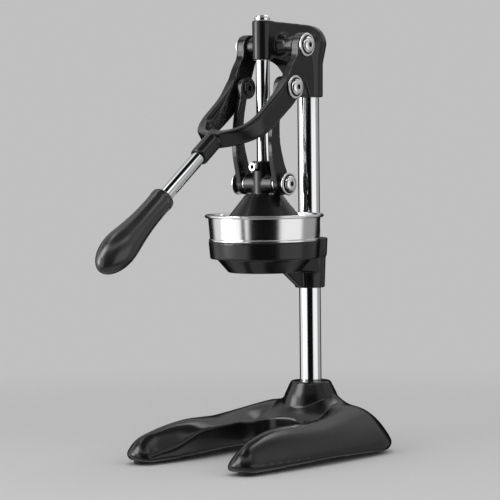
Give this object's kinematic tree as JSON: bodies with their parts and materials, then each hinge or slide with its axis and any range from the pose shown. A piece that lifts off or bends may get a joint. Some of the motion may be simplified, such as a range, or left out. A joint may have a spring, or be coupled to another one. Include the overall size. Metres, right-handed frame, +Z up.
{
  "type": "lever citrus juice press",
  "caption": "Upright lever press: a forked lever turns on the head of a column and drives a sliding rod with a press bell down over a reamer in a strainer bowl above a forked base.",
  "frame": {"origin": "on the table under the centre of the part's own box, lever closed; the column stands behind it and the lever points to the front", "axes": "+Z up the column, +X to the user's right across the base, +Y to the back, lever and toes towards -Y"},
  "size_m": [0.19, 0.3639, 0.45],
  "materials": {
    "black_enamel": "gloss black stove enamel on castings",
    "chrome": "bright chrome plate",
    "polished_steel": "polished stainless sheet",
    "plain_steel": "plain steel fastener",
    "cast_aluminium": "tumbled casting",
    "bush_plastic": "plain bearing plastic",
    "grip_plastic": "satin black moulding",
    "rubber": "black rubber"
  },
  "bodies": {
    "stand": {"base_casting": "black_enamel", "foot_front_left": "rubber", "foot_front_right": "rubber", "foot_rear_left": "rubber", "foot_rear_right": "rubber", "foot_screws": "plain_steel", "column_tube": "chrome", "column_plug": "plain_steel", "column_washer": "plain_steel", "column_bolt": "plain_steel", "bowl_holder": "black_enamel", "holder_set_screws": "plain_steel", "strainer_bowl": "polished_steel", "reamer_cone": "cast_aluminium", "reamer_nut": "cast_aluminium", "head_casting": "black_enamel", "head_set_screws": "plain_steel", "guide_bush_upper": "bush_plastic", "guide_bush_lower": "bush_plastic", "pivot_shaft": "plain_steel", "upper_pivot_washers": "chrome", "upper_pivot_screws": "chrome"},
    "lever": {"yoke_casting": "black_enamel", "yoke_bush_left": "bush_plastic", "yoke_bush_right": "bush_plastic", "lever_set_screw": "plain_steel", "lever_tube": "chrome", "grip": "grip_plastic", "grip_ferrule": "black_enamel", "mid_bush_left": "bush_plastic", "mid_bush_right": "bush_plastic", "mid_pivot_washers": "chrome", "mid_pivot_screws": "chrome"},
    "press": {"press_head": "black_enamel", "guide_rod": "chrome", "rod_stop_cap": "chrome", "hub_set_screw": "chrome", "lower_pivot_washers": "chrome", "lower_pivot_screws": "chrome", "hub_washers": "chrome"},
    "link_left": {"link_left": "black_enamel", "mid_nut_left": "black_enamel", "mid_spacer_left": "black_enamel"},
    "link_right": {"link_right": "black_enamel", "mid_nut_right": "black_enamel", "mid_spacer_right": "black_enamel"}
  },
  "joints": [
    {"name": "lever_hinge", "type": "hinge", "parent": "stand", "child": "lever", "pos_m": [0, 0.08396, 0.4188], "axis": [-1, 0, 0], "range_deg": [0, 97]},
    {"name": "press_slide", "type": "slide", "parent": "stand", "child": "press", "axis": [0, 0, 1], "range_m": [0, 0.0678]},
    {"name": "link_left_hinge", "type": "hinge", "parent": "press", "child": "link_left", "pos_m": [0, 0.06366, 0.27888], "axis": [1, 0, 0], "range_deg": [0, 13.2]},
    {"name": "link_right_hinge", "type": "hinge", "parent": "press", "child": "link_right", "pos_m": [0, 0.06366, 0.27888], "axis": [1, 0, 0], "range_deg": [0, 13.2]}
  ],
  "couplings": [
    {"joint": "press_slide", "follows": "lever_hinge", "m_per_rad": 0.040017},
    {"joint": "link_left_hinge", "follows": "lever_hinge", "ratio": 0.13514},
    {"joint": "link_right_hinge", "follows": "lever_hinge", "ratio": 0.13514}
  ]
}
